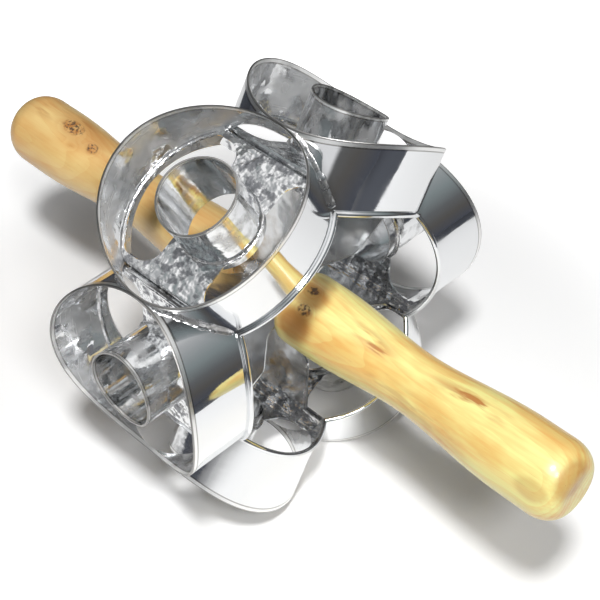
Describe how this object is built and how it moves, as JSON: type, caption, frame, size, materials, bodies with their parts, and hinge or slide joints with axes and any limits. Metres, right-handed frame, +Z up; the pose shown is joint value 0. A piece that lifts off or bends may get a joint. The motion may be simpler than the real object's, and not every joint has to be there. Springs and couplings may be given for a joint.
{
  "type": "rotating donut cutter",
  "caption": "Rolling donut cutter: a drum of bright metal ring cutters, each with a hole cutter inside, turning on an axle between two turned wooden handles.",
  "frame": {"origin": "the middle of the axle rod, halfway between the two handles, which is the centre of the bounding box; the roller stands 4 mm towards the right handle", "axes": "+X along the axle to the right handle, +Z up, with two neighbouring cutters meeting straight under the axle, +Y across the axle"},
  "size_m": [0.334, 0.1778, 0.1778],
  "materials": {
    "ring_steel": "polished tinned sheet steel",
    "hole_steel": "polished tinned sheet steel",
    "plate_steel": "stamped tinned sheet steel",
    "fin_steel": "tinned sheet steel",
    "hub_steel": "tinned steel tube",
    "axle_steel": "drawn steel rod",
    "bush_brass": "turned brass",
    "handle_wood": "turned hardwood, lightly oiled"
  },
  "bodies": {
    "axle": {"axle_rod": "axle_steel", "handle_left": "handle_wood", "handle_right": "handle_wood"},
    "bush": {"hub_bush": "bush_brass"},
    "roller": {"cutter_ring_1": "ring_steel", "hole_cutter_1": "hole_steel", "plate_1": "plate_steel", "fin_1": "fin_steel", "cutter_ring_2": "ring_steel", "hole_cutter_2": "hole_steel", "plate_2": "plate_steel", "fin_2": "fin_steel", "cutter_ring_3": "ring_steel", "hole_cutter_3": "hole_steel", "plate_3": "plate_steel", "fin_3": "fin_steel", "cutter_ring_4": "ring_steel", "hole_cutter_4": "hole_steel", "plate_4": "plate_steel", "fin_4": "fin_steel", "cutter_ring_5": "ring_steel", "hole_cutter_5": "hole_steel", "plate_5": "plate_steel", "fin_5": "fin_steel", "cutter_ring_6": "ring_steel", "hole_cutter_6": "hole_steel", "plate_6": "plate_steel", "fin_6": "fin_steel", "hub_tube": "hub_steel", "hub_washer_left": "hub_steel", "hub_washer_right": "hub_steel"}
  },
  "joints": [
    {"name": "roller_side_play", "type": "slide", "parent": "axle", "child": "bush", "axis": [-1, 0, 0], "range_m": [0, 0.008]},
    {"name": "roller_spin", "type": "hinge", "parent": "bush", "child": "roller", "pos_m": [0.004, 0, 0], "axis": [1, 0, 0], "continuous": true}
  ]
}
